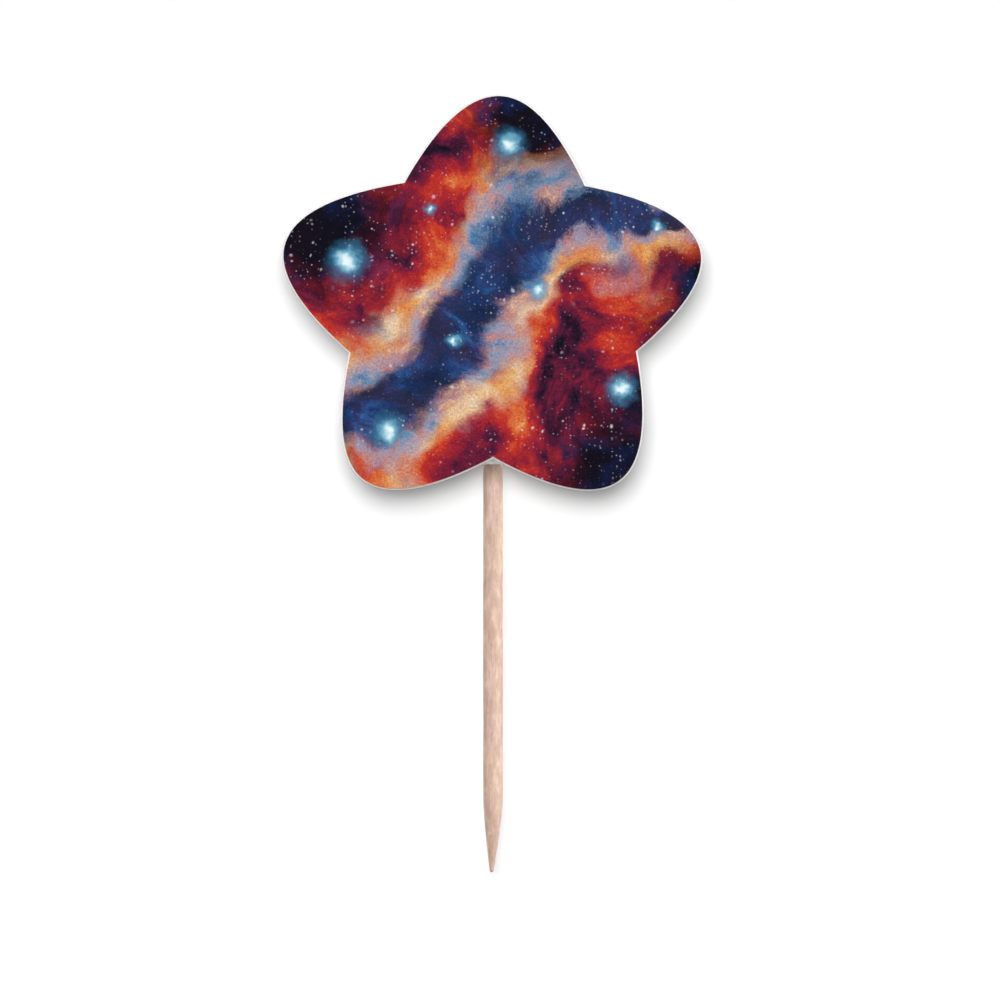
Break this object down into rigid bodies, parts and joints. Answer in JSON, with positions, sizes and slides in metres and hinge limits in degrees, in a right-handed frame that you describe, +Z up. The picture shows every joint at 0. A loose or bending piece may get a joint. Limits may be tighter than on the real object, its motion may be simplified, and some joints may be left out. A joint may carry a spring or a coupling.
{
  "type": "cupcake pick",
  "caption": "Printed paper star with soft rounded lobes, held by foam tape and a paper sticker on a slim round wooden stick whose pointed end is pushed into a cupcake.",
  "frame": {"origin": "lower tip of the stick", "axes": "+Z up along the stick, -Y out of the printed face, +X to the right as the printed face is seen"},
  "size_m": [0.0421, 0.0032, 0.0779],
  "materials": {
    "print": "satin",
    "card": "matte",
    "foam": "matte",
    "wood": "matte",
    "sticker": "matte"
  },
  "bodies": {
    "root": {"printed_face": "print", "star_card": "card", "foam_tape": "foam", "stick": "wood", "backing_sticker": "sticker"}
  },
  "joints": []
}
